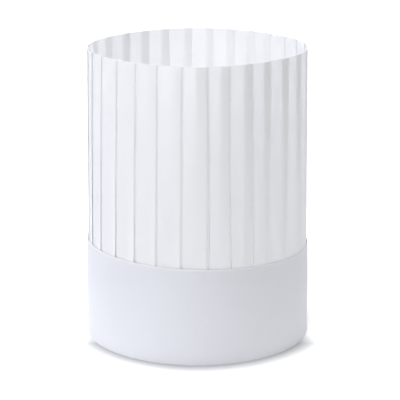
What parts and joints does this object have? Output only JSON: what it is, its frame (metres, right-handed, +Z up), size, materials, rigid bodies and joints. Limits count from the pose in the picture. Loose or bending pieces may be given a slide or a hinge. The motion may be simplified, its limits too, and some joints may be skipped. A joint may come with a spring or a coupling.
{
  "type": "disposable chef hat",
  "caption": "Tall open-topped chef hat of knife-pleated white paper, glued into a smooth plain paper head band.",
  "frame": {"origin": "centre of the band's round foot, on the surface that the hat stands on", "axes": "+Z up through the open crown, -Y towards the front of the hat, +X to the viewer's right from the front; the band's ends lap at +Y"},
  "size_m": [0.1926, 0.1928, 0.25],
  "materials": {
    "head_band": "smooth white paper card",
    "crown": "thin matt white crepe paper"
  },
  "bodies": {
    "root": {"head_band": "head_band", "crown": "crown"}
  },
  "joints": []
}
